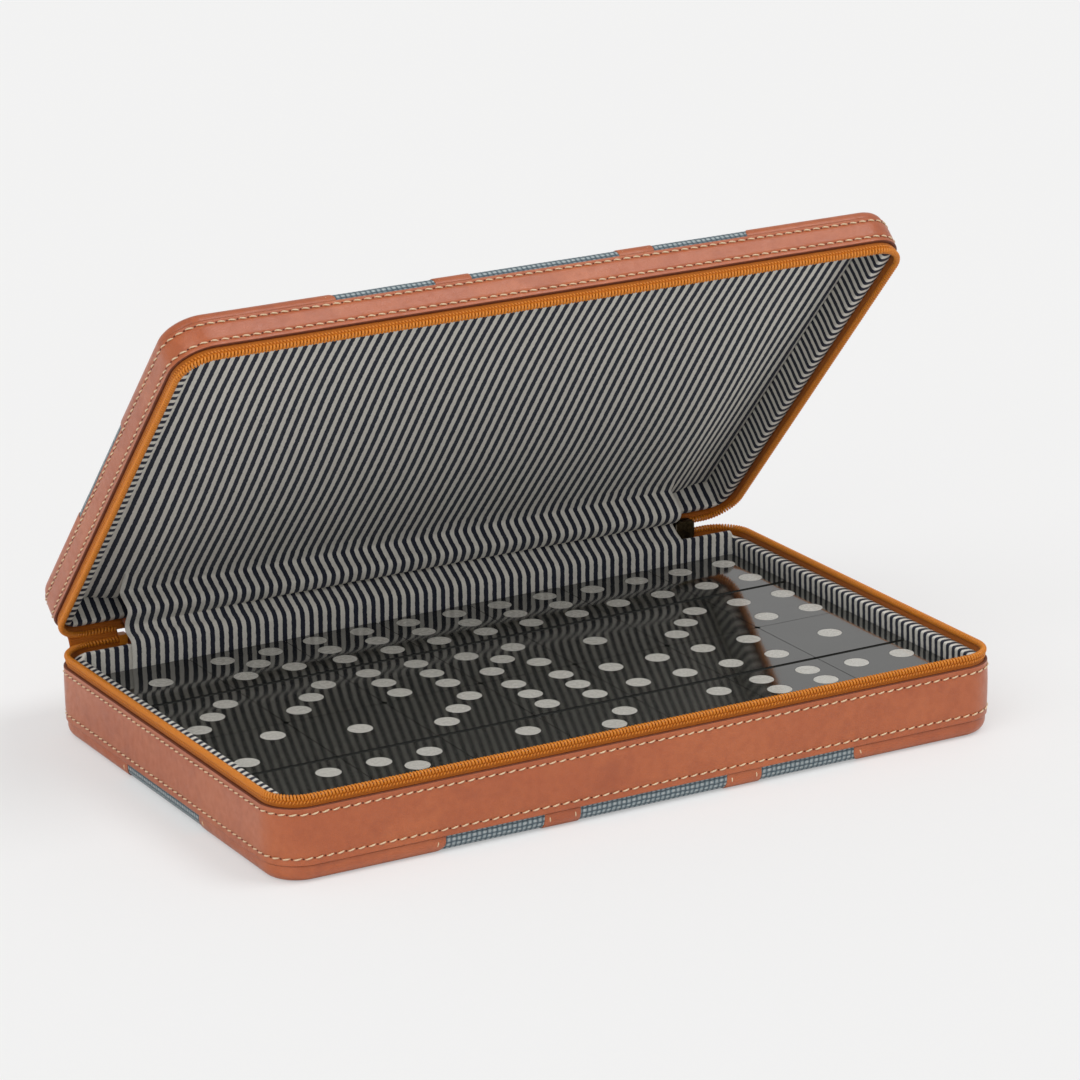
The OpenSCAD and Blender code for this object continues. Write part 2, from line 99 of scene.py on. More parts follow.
class Loop:
    """A rounded rectangle. Its length runs clockwise from the middle of the back."""

    def __init__(self, w, d, r, cy=0.0):
        self.w, self.d, self.r, self.cy = w, d, r, cy
        a, b, q = w / 2 - r, d - 2 * r, math.pi * r / 2
        self.parts = [
            ("line", (0, d / 2), (1, 0), a),
            ("arc", (a, d / 2 - r), 90, q),
            ("line", (w / 2, d / 2 - r), (0, -1), b),
            ("arc", (a, -d / 2 + r), 0, q),
            ("line", (a, -d / 2), (-1, 0), 2 * a),
            ("arc", (-a, -d / 2 + r), -90, q),
            ("line", (-w / 2, -d / 2 + r), (0, 1), b),
            ("arc", (-a, d / 2 - r), -180, q),
            ("line", (-a, d / 2), (1, 0), a),
        ]
        self.ends = np.cumsum([p[3] for p in self.parts])
        self.length = float(self.ends[-1])

    def at(self, s):
        """Places, inward normals and forward directions for lengths s."""
        s = np.asarray(s, float)
        P = np.zeros((len(s), 2))
        T = np.zeros((len(s), 2))
        k = np.clip(np.searchsorted(self.ends, s, side="right"), 0, len(self.parts) - 1)
        for i, part in enumerate(self.parts):
            m = k == i
            if not m.any():
                continue
            u = s[m] - (self.ends[i] - part[3])
            if part[0] == "line":
                P[m] = np.array(part[1]) + np.outer(u, part[2])
                T[m] = part[2]
            else:
                t = math.radians(part[2]) - u / self.r
                P[m] = np.array(part[1]) + self.r * np.stack([np.cos(t), np.sin(t)], 1)
                T[m] = np.stack([np.sin(t), -np.cos(t)], 1)
        P[:, 1] += self.cy
        N = np.stack([T[:, 1], -T[:, 0]], 1)
        return P, N, T

    def stations(self, step, corner=14):
        """Lengths along the loop: about step apart, and closer in the corners."""
        out = []
        for part, end in zip(self.parts, self.ends):
            n = corner if part[0] == "arc" else max(1, round(part[3] / step))
            out.append(end - part[3] + part[3] * np.arange(n) / n)
        return np.concatenate(out)

    def matched(self, nx, ny, nc):
        """Lengths along the loop, with a set number of steps on each side and corner."""
        counts = (nx, nc, ny, nc, 2 * nx, nc, ny, nc, nx)
        out = []
        for part, end, n in zip(self.parts, self.ends, counts):
            out.append(end - part[3] + part[3] * np.arange(n) / n)
        return np.concatenate(out)


OUTER = Loop(W, D, R)


def to_lid(p):
    """Puts what is drawn as a tray, from its outer face up, into the open lid."""
    p = np.asarray(p, float)
    y, z = p[:, 1] - AXIS_Y, (CLOSED - p[:, 2]) - PARTING
    c, s = math.cos(LID_OPEN), math.sin(LID_OPEN)
    return np.stack([p[:, 0], AXIS_Y + y * c + z * s, PARTING - y * s + z * c], 1)


def outwards(me):
    """Turns every face of a closed mesh outwards."""
    bm = bmesh.new()
    bm.from_mesh(me)
    bmesh.ops.recalc_face_normals(bm, faces=bm.faces)
    bm.to_mesh(me)
    bm.free()


def link(name, data):
    """A new object in the scene, for a mesh, lamp or camera."""
    ob = bpy.data.objects.new(name, data)
    bpy.context.scene.collection.objects.link(ob)
    return ob


def build(name, verts, faces, material, body, uv=None, lid=False, smooth=True):
    """A mesh from places in millimetres. uv, also in millimetres, is one pair for each
    vertex, or one for each corner of each face."""
    verts = np.asarray(verts, float)
    if lid:
        verts = to_lid(verts)
        faces = [tuple(reversed(f)) for f in faces]
    me = bpy.data.meshes.new(name)
    me.from_pydata([tuple(v) for v in verts * 0.001], [], [tuple(int(i) for i in f) for f in faces])
    if uv is not None:
        layer = me.uv_layers.new(name="UVMap")
        idx = np.zeros(len(me.loops), int)
        me.loops.foreach_get("vertex_index", idx)
        co = np.asarray(uv, float)
        if len(uv) == len(verts):
            co = co[idx]
        layer.data.foreach_set("uv", (co * 0.001).ravel())
    me.polygons.foreach_set("use_smooth", [smooth] * len(me.polygons))
    me.update()
    ob = link(name, me)
    me.materials.append(material)
    if body:
        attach(ob, body)
    return ob


def grid_faces(n, m, wrap_n, wrap_m):
    """Faces of a grid of n rows of m. Rows go along the loop."""
    out = []
    for i in range(n if wrap_n else n - 1):
        a, b = i * m, ((i + 1) % n) * m
        for j in range(m if wrap_m else m - 1):
            k = (j + 1) % m
            out.append((a + j, b + j, b + k, a + k))
    return out


def sweep(loop, s, profile, wrap_s=True, wrap_p=True, push=None):
    """Sweeps a profile of (inset, height) along a loop, at the lengths s.
    push(lengths, heights, profile) says how far points move outwards."""
    profile = np.asarray(profile, float)
    P, N, _ = loop.at(s)
    n, m = len(s), len(profile)
    inset = np.tile(profile[:, 0], (n, 1))
    if push is not None:
        inset = inset - push(np.asarray(s, float)[:, None], profile[:, 1][None, :], profile)
    xy = P[:, None, :] + N[:, None, :] * inset[:, :, None]
    z = np.tile(profile[:, 1], (n, 1))
    verts = np.concatenate([xy, z[:, :, None]], 2).reshape(-1, 3)
    step = np.hypot(*np.diff(profile, axis=0).T)
    v = np.concatenate([[0], np.cumsum(step)])
    uv = np.stack([np.repeat(s, m), np.tile(v, n)], 1)
    faces = grid_faces(n, m, wrap_s, wrap_p)
    if not wrap_s and wrap_p:
        faces.append(tuple(range(m)))
        faces.append(tuple(reversed(range((n - 1) * m, n * m))))
    return verts, faces, uv


def waves(seed, lengths, amount):
    """A smooth wandering surface over two lengths, the same each run."""
    r = np.random.default_rng(seed)
    terms = [(2 * math.pi / L, r.uniform(0, 6.28), r.uniform(-1, 1), r.uniform(0, 6.28)) for L in lengths]

    def f(a, b):
        out = 0
        for k, p, t, q in terms:
            out = out + np.sin(k * a * (1 - 0.3 * abs(t)) + p) * np.cos(k * b * t + q)
        return amount * out / len(terms)

    return f


def capsule(length, radius):
    """A stitch: a short thread whose ends dip. Along x, up z."""
    ends = np.linspace(-1, 1, 5)
    fat = (0.35, 0.85, 1.0, 0.85, 0.35)
    sides, dip = 6, 1.44
    v = []
    for t, k in zip(ends, fat):
        for j in range(sides):
            a = 2 * math.pi * j / sides
            z = radius * k * math.sin(a) - dip * radius * t ** 4
            v.append((t * length / 2, radius * k * math.cos(a), z))
    f = grid_faces(len(fat), sides, False, True)
    f.append(tuple(range(sides)))
    f.append(tuple(reversed(range(len(v) - sides, len(v)))))
    return np.array(v), f


def oval(a, b, k=10):
    """A small oval that rises to its middle. With its dark material it is painted shade that stands for a
    stitch hole.
    """
    turn = [2 * math.pi * i / k for i in range(k)]
    v = [(0.0, 0.0, 0.05)] + [(a * math.cos(t), b * math.sin(t), -0.05) for t in turn]
    return np.array(v), [(0, 1 + i, 1 + (i + 1) % k) for i in range(k)]


def scatter(name, places, along, out, shape, material, body, lid=False, turn=0.0):
    """Copies of one small shape: x goes along, z goes out."""
    sv, sf = shape
    V, F = [], []
    for k, (p, a, o) in enumerate(zip(places, along, out)):
        a = a / np.linalg.norm(a)
        o = o / np.linalg.norm(o)
        c = np.cross(o, a)
        if turn:
            a, c = a * math.cos(turn) + c * math.sin(turn), -a * math.sin(turn) + c * math.cos(turn)
        V.append(p + sv[:, :1] * a + sv[:, 1:2] * c + sv[:, 2:3] * o)
        base = k * len(sv)
        F.extend(tuple(base + i for i in f) for f in sf)
    return build(name, np.concatenate(V), F, material, body, lid=lid)


# Materials

class Mat:
    """A small helper to wire procedural materials."""

    def __init__(self, name, **principled):
        self.m = bpy.data.materials.new(name)
        self.m.use_nodes = True
        self.t = self.m.node_tree
        self.p = self.t.nodes["Principled BSDF"]
        for key, value in principled.items():
            self.p.inputs[key.replace("_", " ")].default_value = value
        self.coords = self.t.nodes.new("ShaderNodeTexCoord")

    def node(self, kind, inputs=None, **props):
        """A shader node. Each input is a number, a colour or another node's output."""
        n = self.t.nodes.new("ShaderNode" + kind)
        for key, value in props.items():
            setattr(n, key, value)
        for key, value in (inputs or {}).items():
            if isinstance(value, bpy.types.NodeSocket):
                self.t.links.new(value, n.inputs[key])
            else:
                n.inputs[key].default_value = value
        return n

    def math(self, op, a, b=0.0):
        return self.node("Math", {0: a, 1: b}, operation=op).outputs[0]

    def mix(self, share, a, b):
        """Colour a, and colour b where share is 1."""
        return self.node("Mix", {0: share, 6: a, 7: b}, data_type="RGBA").outputs[2]

    def wave(self, value, length):
        """A sine of the value, with a wave length in metres."""
        return self.math("SINE", self.math("MULTIPLY", value, 2 * math.pi / length))

    def noise(self, scale, detail=3.0, rough=0.5, distortion=0.0):
        n = self.node("TexNoise", {"Vector": self.coords.outputs["Object"], "Scale": scale,
                                   "Detail": detail, "Roughness": rough, "Distortion": distortion})
        return n.outputs["Fac"]

    def remap(self, value, a, b, c, d, smooth=False):
        """Maps a to b onto c to d, and holds the ends."""
        n = self.node("MapRange", {"Value": value, "From Min": a, "From Max": b, "To Min": c, "To Max": d})
        if smooth:
            n.interpolation_type = "SMOOTHSTEP"
        return n.outputs[0]

    def uv(self):
        n = self.node("SeparateXYZ", {"Vector": self.coords.outputs["UV"]})
        return n.outputs[0], n.outputs[1]

    def colour(self, value):
        self.t.links.new(value, self.p.inputs["Base Color"])

    def rough(self, value):
        self.t.links.new(value, self.p.inputs["Roughness"])

    def bump(self, heights):
        """Bumps on top of each other: pairs of a height and its depth in metres."""
        last = None
        for value, depth in heights:
            n = self.node("Bump", {"Height": value, "Distance": depth, "Strength": 1.0})
            if last is not None:
                self.t.links.new(last, n.inputs["Normal"])
            last = n.outputs[0]
        self.t.links.new(last, self.p.inputs["Normal"])


def rgb(r, g, b):
    """Display colour, 0 to 255, as a linear one."""
    out = []
    for v in (r, g, b):
        v /= 255
        out.append(v / 12.92 if v <= 0.04045 else ((v + 0.055) / 1.055) ** 2.4)
    return (*out, 1.0)


def leather(name, base, dark, light, shine=0.38):
    """Smooth tan leather with patches, darker specks and a fine grain of cells."""
    m = Mat(name, Specular_IOR_Level=0.6, Coat_Weight=0.35, Coat_Roughness=0.3)
    patches = m.noise(22, 4, 0.55)
    fine = m.noise(260, 3, 0.6)
    c = m.mix(m.remap(patches, 0.35, 0.7, 0, 1, True), base, light)
    c = m.mix(m.remap(m.noise(70, 4, 0.6, distortion=0.4), 0.5, 0.75, 0, 0.5), c, dark)
    c = m.mix(m.remap(fine, 0.42, 0.7, 0, 0.28), c, dark)
    cells = m.node("TexVoronoi", {"Vector": m.coords.outputs["Object"], "Scale": 1150.0,
                                  "Randomness": 0.95}, feature="DISTANCE_TO_EDGE")
    crack = m.remap(cells.outputs["Distance"], 0.0, 0.16, 0.0, 1.0, True)
    pores = m.noise(1800, 2, 0.5)
    m.colour(m.mix(m.remap(crack, 0, 1, 0.16, 0), c, dark))
    m.rough(m.remap(fine, 0.3, 0.7, shine - 0.06, shine + 0.1))
    m.bump([(crack, 0.00007), (pores, 0.00005), (fine, 0.00022)])
    return m.m


def woven(name, light, mid, dark, pitch):
    """Basket weave of thick threads, over the UVs in metres. The thread crowns get a painted highlight and
    the dips between threads get painted shade.
    """
    m = Mat(name, Specular_IOR_Level=0.25, Roughness=0.8, Sheen_Weight=0.15, Sheen_Roughness=0.5)
    u, v = m.uv()
    wob = m.math("MULTIPLY", m.math("SUBTRACT", m.noise(120, 2), 0.5), 0.35)
    a = m.math("ADD", m.math("DIVIDE", u, pitch), wob)
    b = m.math("ADD", m.math("DIVIDE", v, pitch), wob)
    cell = m.math("ADD", m.math("FLOOR", a), m.math("FLOOR", b))
    odd = m.math("ABSOLUTE", m.math("MODULO", cell, 2.0))
    fa = m.math("ABSOLUTE", m.math("SUBTRACT", m.math("FRACT", a), 0.5))
    fb = m.math("ABSOLUTE", m.math("SUBTRACT", m.math("FRACT", b), 0.5))

    def thread(across, along):
        crown = m.math("SUBTRACT", 1.0, m.math("POWER", m.math("MULTIPLY", across, 2.0), 2.2))
        dip = m.math("POWER", m.math("MULTIPLY", along, 2.0), 2.0)
        return m.math("MULTIPLY", crown, m.math("SUBTRACT", 1.0, m.math("MULTIPLY", dip, 0.62)))

    over = m.math("MULTIPLY", thread(fa, fb), odd)
    under = m.math("MULTIPLY", thread(fb, fa), m.math("SUBTRACT", 1.0, odd))
    h = m.math("ADD", over, under)
    fibre = m.noise(2600, 2, 0.6)
    # painted shade in the dips between threads (dark) and a painted highlight on the thread crowns (light),
    # both following the weave's height
    c = m.mix(m.remap(h, 0.05, 0.75, 0, 1), dark, mid)
    c = m.mix(m.remap(h, 0.55, 1.0, 0, 1), c, light)
    c = m.mix(m.math("MULTIPLY", odd, 0.25), c, mid)
    c = m.mix(m.remap(fibre, 0.35, 0.75, 0, 0.35), c, dark)
    m.colour(c)
    m.bump([(h, 0.00055), (fibre, 0.00012)])
    return m.m


def striped(name, cream, navy):
    """Ticking: woven stripes along v. The UVs are in metres."""
    m = Mat(name, Specular_IOR_Level=0.2, Roughness=0.85, Sheen_Weight=0.1, Sheen_Roughness=0.5)
    u, v = m.uv()
    jitter = m.math("MULTIPLY", m.math("SUBTRACT", m.noise(420, 3, 0.6), 0.5), 0.16)
    a = m.math("ADD", m.math("DIVIDE", u, STRIPE * 0.001), jitter)
    middle = m.math("ABSOLUTE", m.math("SUBTRACT", m.math("FRACT", a), 0.5))
    blue = m.remap(middle, 0.235, 0.275, 1, 0, True)
    twill = m.wave(m.math("ADD", u, v), 0.0011)
    fibre = m.noise(2400, 3, 0.6)
    soft = m.noise(60, 3, 0.5)

    def tinted(colour, k):
        return tuple(min(1, k * x) for x in colour[:3]) + (1.0,)

    cream_c = m.mix(m.remap(fibre, 0.35, 0.75, 0, 0.5), cream, tinted(cream, 0.62))
    cream_c = m.mix(m.remap(soft, 0.4, 0.7, 0, 0.25), cream_c, tinted(cream, 0.8))
    navy_c = m.mix(m.remap(fibre, 0.4, 0.8, 0, 0.6), navy, tinted(navy, 2.4))
    m.colour(m.mix(blue, cream_c, navy_c))
    weave = m.math("MULTIPLY", m.wave(u, 0.00052), m.wave(v, 0.00066))
    grain = m.math("ADD", weave, m.math("MULTIPLY", twill, 0.6))
    m.bump([(grain, 0.00005), (fibre, 0.00012), (soft, 0.0006)])
    return m.m


def tape_cloth(name, base, dark):
    """The ribbed cloth of the zip's tape, over the UVs in metres, with painted shade in the valleys between
    its ribs.
    """
    m = Mat(name, Specular_IOR_Level=0.25, Roughness=0.75, Sheen_Weight=0.1, Sheen_Roughness=0.5)
    u, v = m.uv()
    across = m.wave(v, 0.0009)
    shift = m.math("MULTIPLY", m.math("SIGN", across), 0.0002)
    rib = m.wave(m.math("ADD", u, shift), 0.0007)
    fibre = m.noise(2200, 3, 0.6)
    # painted shade: the valleys between the ribs are darker
    c = m.mix(m.remap(rib, -1, 1, 0.35, 0), base, dark)
    c = m.mix(m.remap(fibre, 0.35, 0.75, 0, 0.45), c, dark)
    m.colour(c)
    m.bump([(m.math("ADD", rib, across), 0.00007), (fibre, 0.0001)])
    return m.m


def simple(name, base, second, rough, scale=900, bump=0.00006, **kw):
    """Two colours mixed by a fine noise, which also gives the bumps."""
    m = Mat(name, **kw)
    n = m.noise(scale, 3, 0.6)
    m.colour(m.mix(m.remap(n, 0.35, 0.7, 0, 1), base, second))
    m.rough(m.remap(m.noise(scale / 3, 2), 0.3, 0.7, rough - 0.05, rough + 0.07))
    m.bump([(n, bump)])
    return m.m


LEATHER = leather("leather", rgb(180, 88, 37), rgb(154, 69, 25), rgb(190, 99, 46))
# dark brown for the leather's cut edges: painted shade for the grooves along the leather's edges
EDGE_SHADE = simple("leather_edge_shade", rgb(112, 52, 20), rgb(84, 36, 12), 0.6)
# the light blue-grey is painted highlight on the thread crowns; the dark one is painted shade in the dips
# and also the colour of darker fibres
CLOTH = woven("woven_cloth", rgb(190, 198, 198), rgb(130, 148, 156), rgb(54, 68, 78), 0.0025)
LINING = striped("striped_lining", rgb(232, 229, 220), rgb(30, 33, 47))
# the dark orange-brown is painted shade between the ribs and also the colour of darker fibres
TAPE = tape_cloth("zip_tape", rgb(204, 114, 22), rgb(140, 68, 11))
COIL = simple("zip_coil", rgb(222, 138, 34), rgb(198, 112, 22), 0.34, 1500, 0.00003,
              Specular_IOR_Level=0.5)
THREAD = simple("thread", rgb(236, 212, 178), rgb(206, 176, 138), 0.7, 3000, 0.0001)
# dark brown for the ovals between stitches: painted shade for the stitch holes
HOLE_SHADE = simple("stitch_hole_shade", rgb(98, 44, 18), rgb(76, 32, 12), 0.8)
BRONZE = simple("dark_bronze", rgb(92, 80, 58), rgb(58, 50, 36), 0.32, 700, 0.00003, Metallic=1.0)
BOARD = simple("board", rgb(170, 140, 105), rgb(140, 112, 82), 0.9, 500, 0.0002)


def acrylic():
    """Polished black acrylic, slightly uneven, so that its mirror image wavers."""
    m = Mat("domino_acrylic", IOR=1.62, Coat_Weight=0.7, Coat_Roughness=0.05, Coat_IOR=1.6)
    cloud = m.noise(40, 3, 0.5)
    m.colour(m.mix(cloud, rgb(27, 28, 25), rgb(36, 37, 33)))
    m.rough(m.remap(m.noise(320, 3), 0.35, 0.7, 0.07, 0.12))
    m.bump([(m.noise(14, 2), 0.0005)])
    return m.m


def pip_paint():
    """The pips' off-white paint."""
    m = Mat("pip_paint", IOR=1.5, Coat_Weight=0.4, Coat_Roughness=0.05)
    n = m.noise(500, 4, 0.6)
    m.colour(m.mix(m.remap(n, 0.35, 0.7, 0, 1), rgb(206, 204, 197), rgb(186, 184, 176)))
    m.rough(m.remap(n, 0.3, 0.7, 0.2, 0.34))
    m.bump([(n, 0.00002)])
    return m.m


ACRYLIC = acrylic()
PIP = pip_paint()


# Leather and cloth

def band(name, body, z0, z1, seams, lid, seed):
    """The leather round the sides, from height z0 to z1, which puffs out between its seams."""
    lip = 0.06
    pts = [(BAND_T, z0), (0.75, z0), (0.3, z0 + 0.14), (lip, z0 + 0.42)]
    for z in np.linspace(z0 + 0.9, z1 - 0.8, 34):
        groove = sum(0.30 * math.exp(-(((z - q) / 0.75) ** 2)) for q in seams)
        pts.append((0.05 + groove, z))
    pts += [(lip, z1 - 0.4), (0.3, z1 - 0.12), (0.75, z1), (BAND_T, z1)]
    w = waves(seed, (95, 61, 37, 24), 0.16)
    lo, hi = min(seams), max(seams)

    def push(ss, zz, prof):
        puff = np.exp(-(((zz - (lo + hi) / 2) / (0.42 * (hi - lo))) ** 4))
        skin = prof[:, 0][None, :] < 0.5
        return (0.22 * puff + w(ss, zz * 3)) * skin * 0.8

    v, f, uv = sweep(OUTER, OUTER.stations(3.0, 16), pts, push=push)
    ob = build(name, v, f, LEATHER, body, uv, lid=lid)
    # the cut edges are painted dark brown: painted shade for the grooves along the leather's edges
    ob.data.materials.append(EDGE_SHADE)
    m = len(pts)
    for i, face in enumerate(ob.data.polygons):
        face.material_index = 1 if i % m >= m - 4 or i % m < 2 else 0
    return ob


def seam(name, body, z, lid, phase):
    """A row of stitches round the case, with dark ovals of painted shade for the holes between them."""
    n = round(OUTER.length / STITCH)
    step = OUTER.length / n
    s = (np.arange(n) + phase) * step % OUTER.length

    def row(row_name, lengths, inset, shape, material, turn):
        P, N, T = OUTER.at(lengths)
        places = np.column_stack([P + N * inset, np.full(n, z)])
        along = np.column_stack([T, np.zeros(n)])
        out = np.column_stack([-N, np.zeros(n)])
        ob = scatter(row_name, places, along, out, shape, material, body, lid=lid, turn=turn)

    row(name, s, -0.07, capsule(3.8, 0.42), THREAD, 0.2)
    # dark ovals of painted shade where the stitch holes are
    row(name + "_shaded_holes", (s + step / 2) % OUTER.length, 0.06, oval(0.5, 0.38), HOLE_SHADE, 0.0)


def skin_uvs(me, places, swept):
    """UVs in millimetres for a skin: swept ones, and flat ones on its two large faces."""
    layer = me.uv_layers.new(name="UVMap")
    co = np.zeros((len(me.loops), 2))
    for p in me.polygons:
        corners = list(p.loop_indices)
        source = places if len(p.vertices) > 4 else swept
        for i in corners:
            co[i] = source[me.loops[i].vertex_index][:2]
        # a face that closes the loop has its last corners at length nought
        if source is swept and np.ptp(co[corners, 0]) > OUTER.length / 2:
            for i in corners:
                if co[i, 0] < OUTER.length / 2:
                    co[i, 0] += OUTER.length
    layer.data.foreach_set("uv", (co * 0.001).ravel())


def cloth_skin(name, body, edge, er, lid, seed):
    """The woven cloth: a shell with a rounded edge and a flat outer face."""
    side_in, z0 = 1.1, 0.3
    rr = er - side_in
    outer = [(side_in + 0.2, edge + 4.0), (side_in + 0.1, edge + 0.6), (side_in, edge - 0.2)]
    for q in np.linspace(0, math.pi / 2, 12):
        outer.append((er - rr * math.cos(q), er - (er - z0) * math.sin(q)))
    outer += [(er + 2.5, z0), (er + 5.5, z0 - 0.1), (17.0, z0 - 0.15)]
    inner = []
    for x, z in reversed(outer):
        upright = min(1, max(0, (er - x) / rr))
        inner.append((x + CLOTH_T * upright, z + CLOTH_T * (1 - upright)))
    s = OUTER.stations(3.0, 14)
    w = waves(seed, (60, 35, 21), 0.10)

    def push(ss, zz, p):
        return w(ss, zz * 3) * (p[:, 0][None, :] < er)

    v1, f1, uv1 = sweep(OUTER, s, outer, wrap_p=False, push=push)
    v2, f2, uv2 = sweep(OUTER, s, inner, wrap_p=False)
    n, m, off = len(s), len(outer), len(v1)
    f1.append(tuple(reversed([i * m + m - 1 for i in range(n)])))
    f2.append(tuple(i * m for i in range(n)))
    faces = f1 + [tuple(off + i for i in f) for f in f2]
    for i in range(n):
        j = (i + 1) % n
        faces.append((i * m, off + i * m + m - 1, off + j * m + m - 1, j * m))
    places = np.concatenate([v1, v2])
    ob = build(name, places, faces, CLOTH, body, lid=lid)
    outwards(ob.data)
    skin_uvs(ob.data, places, np.concatenate([uv1, uv2]))
    return ob


def softened(node, name, body):
    """A leather copy of a CAD piece, with its flat faces joined and its edges eased."""
    bm = bmesh.new()
    bm.from_mesh(NODES[node].data)
    bmesh.ops.remove_doubles(bm, verts=bm.verts, dist=1e-6)
    bmesh.ops.dissolve_limit(bm, angle_limit=math.radians(0.6), verts=bm.verts, edges=bm.edges)
    edges = [e for e in bm.edges if len(e.link_faces) == 2 and e.calc_face_angle(0) > math.radians(35)]
    bmesh.ops.bevel(bm, geom=edges, offset=EDGE_EASE * 0.001, segments=2, profile=0.6,
                    affect="EDGES", clamp_overlap=True)
    me = bpy.data.meshes.new(name)
    bm.to_mesh(me)
    bm.free()
    me.polygons.foreach_set("use_smooth", [True] * len(me.polygons))
    ob = link(name, me)
    me.materials.clear()
    me.materials.append(LEATHER)
    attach(ob, body)
    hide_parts(node)


def skin_z(a, er, base_in):
    """Height of a skin's outer surface whose side is base_in from the outline, at inset a."""
    r = er - base_in
    q = er - a
    if q <= 0:
        return 0.0
    if q >= r:
        return er
    return er - math.sqrt(max(0.0, r * r - q * q))


def along_line(points, pitch, normals, reach=0.6):
    """Evenly spaced places, directions and normals along a polyline."""
    cum = np.concatenate([[0], np.cumsum(np.linalg.norm(np.diff(points, axis=0), axis=1))])
    n = max(1, int(cum[-1] // pitch))
    t = (np.arange(n) + 0.5) * cum[-1] / n

    def at(lengths, values):
        return np.stack([np.interp(lengths, cum, values[:, i]) for i in range(3)], 1)

    ahead = at(np.minimum(t + reach, cum[-1]), points)
    behind = at(np.maximum(t - reach, 0), points)
    return at(t, points), ahead - behind, at(t, normals)


def cut_line(p0, direction, edge, er):
    """Where a plan line cuts a skin's outer surface: up one side, over the face, down the other.
    Returns its points and the surface's normals there."""
    side_in = BAND_T - PATCH_T
    d = np.array(direction, float)
    d /= np.linalg.norm(d)
    xy = np.array(p0)[None, :] + np.linspace(-420, 420, 8401)[:, None] * d[None, :]
    ax, ay = W / 2 - np.abs(xy[:, 0]), D / 2 - np.abs(xy[:, 1])
    a = np.minimum(ax, ay)
    inside = a >= side_in
    pts, nrm = [], []
    for (x, y), q, qx, qy in zip(xy[inside], a[inside], ax[inside], ay[inside]):
        side = np.array([math.copysign(1, x), 0, 0]) if qx < qy else np.array([0, math.copysign(1, y), 0])
        k = min(1.0, max(0.0, (er - q) / (er - side_in)))
        pts.append((x, y, skin_z(q, er, side_in)))
        nrm.append(side * k + np.array([0, 0, -1.0]) * math.sqrt(max(0, 1 - k * k)))
    first, last = pts[0], pts[-1]
    down = [(first[0], first[1], z) for z in np.arange(edge - 1.0, er, -0.5)]
    up = [(last[0], last[1], z) for z in np.arange(er + 0.3, edge - 0.8, 0.5)]
    return np.array(down + pts + up), np.array([nrm[0]] * len(down) + nrm + [nrm[-1]] * len(up))


def patch_stitches(name, body, edge, er, lid):
    """The stitches along both edges of each strap and along each corner's long edge."""
    lines = []
    for x in (-STRAP_X, STRAP_X):
        for k in (-1, 1):
            lines.append(((x + k * (STRAP_W / 2 - STITCH_INSET), 0), (0, 1)))
    off = LEG - STITCH_INSET * math.sqrt(2)
    for sx in (-1, 1):
        for sy in (-1, 1):
            p = (sx * (W / 2 - off / 2), sy * (D / 2 - off / 2))
            lines.append((p, (1, -1) if sx == sy else (1, 1)))
    places, along, out = [], [], []
    for p0, d in lines:
        points, normals = cut_line(p0, d, edge, er)
        P, T, N = along_line(points, PATCH_STITCH, normals)
        places.append(P + N * 0.05)
        along.append(T)
        out.append(N)
    ob = scatter(name, np.concatenate(places), np.concatenate(along), np.concatenate(out),
                 capsule(3.4, 0.38), THREAD, body, lid=lid, turn=0.15)


SIDES = ["front_left", "front_right", "back_left", "back_right"]
# Name, whether it is the lid, lower edge of the leather band, height, round of the edge, heights of
# the two seams, and seed
HALVES = [
    ("tray", False, TRAY_BAND, TRAY_H, TRAY_EDGE_R, (11.5, TRAY_H - 2.95), 11),
    ("lid", True, LID_BAND, LID_H, LID_EDGE_R, (7.15, LID_H - 2.75), 23),
]
for half, is_lid, edge, height, er, seams, seed in HALVES:
    leather_band = band(half + "_leather_band", half, edge, height, seams, is_lid, seed)
    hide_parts(half + "_band")
    for k, z in enumerate(seams):
        seam("%s_seam_%d" % (half, k + 1), half, z, is_lid, 0.3 * k)
    cloth = cloth_skin(half + "_woven_cloth", half, edge, er, is_lid, seed + 1)
    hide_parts(half + "_cloth")
    for side in SIDES:
        softened("%s_corner_%s" % (half, side), "%s_leather_corner_%s" % (half, side), half)
    for side in ("left", "right"):
        softened("%s_strap_%s" % (half, side), "%s_leather_strap_%s" % (half, side), half)
    patch_stitches(half + "_patch_stitches", half, edge, er, is_lid)


# Zip

def zip_tape(name, body, h, left, right, lid, top=4.0):
    """The tape that carries the coil, up to a height of top above the leather. It starts at the
    length right and ends left before the loop's end."""
    s = OUTER.stations(3.0, 16)
    s = s[(s > right) & (s < OUTER.length - left)]
    s = np.concatenate([[right], s, [OUTER.length - left]])
    heights = [h - 6.0, h - 1.0] + [h + top * k for k in (0.15, 0.45, 0.75, 1)]
    bows = [0.0, 0.0, 0.12, 0.2, 0.1, -0.05]
    outer = [(BAND_T - bow, z) for bow, z in zip(bows, heights)]
    inner = [(x + TAPE_T, z) for x, z in reversed(outer)]
    v, f, uv = sweep(OUTER, s, outer + inner, wrap_s=False)
    ob = build(name, v, f, TAPE, body, uv, lid=lid)
    return ob


